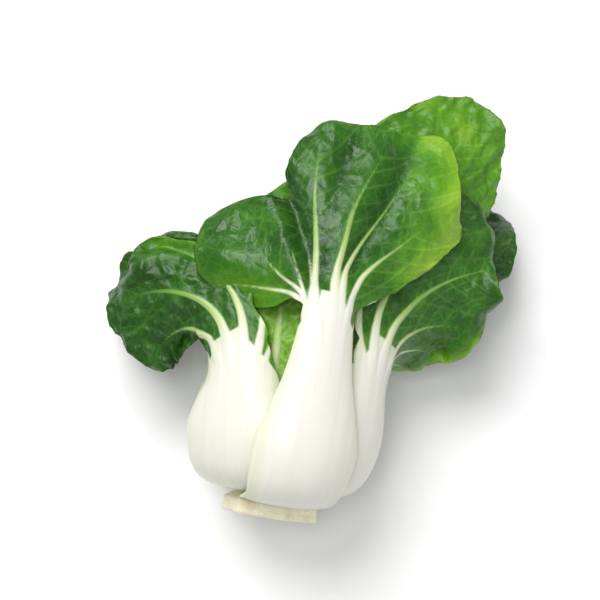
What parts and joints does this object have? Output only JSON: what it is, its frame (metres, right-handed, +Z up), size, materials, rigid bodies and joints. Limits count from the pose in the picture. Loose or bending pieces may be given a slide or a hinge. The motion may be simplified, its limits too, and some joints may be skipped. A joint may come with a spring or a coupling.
{
  "type": "bok choy",
  "caption": "Short white-stemmed bok choy head lying on its side, plump stalks fanning into dark green, ribbed, ruffled blades.",
  "frame": {"origin": "on the surface that the head lies on, under the centre of its bounding box", "axes": "+Z up from the surface, +Y from the cut butt towards the leaf tips, +X to the head's right seen from above with the butt nearest"},
  "size_m": [0.143, 0.1508, 0.0767],
  "materials": {
    "outer_leaf": "waxy, glossy leaf: ivory-white stalk, dark green blade",
    "inner_leaf": "waxy, glossy leaf: ivory-white stalk, mid-green blade",
    "heart_leaf": "satin young leaf: pale stalk, yellow-green blade",
    "butt": "damp matte cut stem, cream"
  },
  "bodies": {
    "root": {"top_outer_leaf": "outer_leaf", "bottom_outer_leaf": "outer_leaf", "left_outer_leaf": "outer_leaf", "right_outer_leaf": "outer_leaf", "lower_left_outer_leaf": "outer_leaf", "top_inner_leaf": "inner_leaf", "lower_right_leaf": "inner_leaf", "left_inner_leaf": "inner_leaf", "upper_right_inner_leaf": "inner_leaf", "bottom_inner_leaf": "inner_leaf", "heart_leaf_left": "heart_leaf", "heart_leaf_right": "heart_leaf", "butt": "butt"}
  },
  "joints": []
}
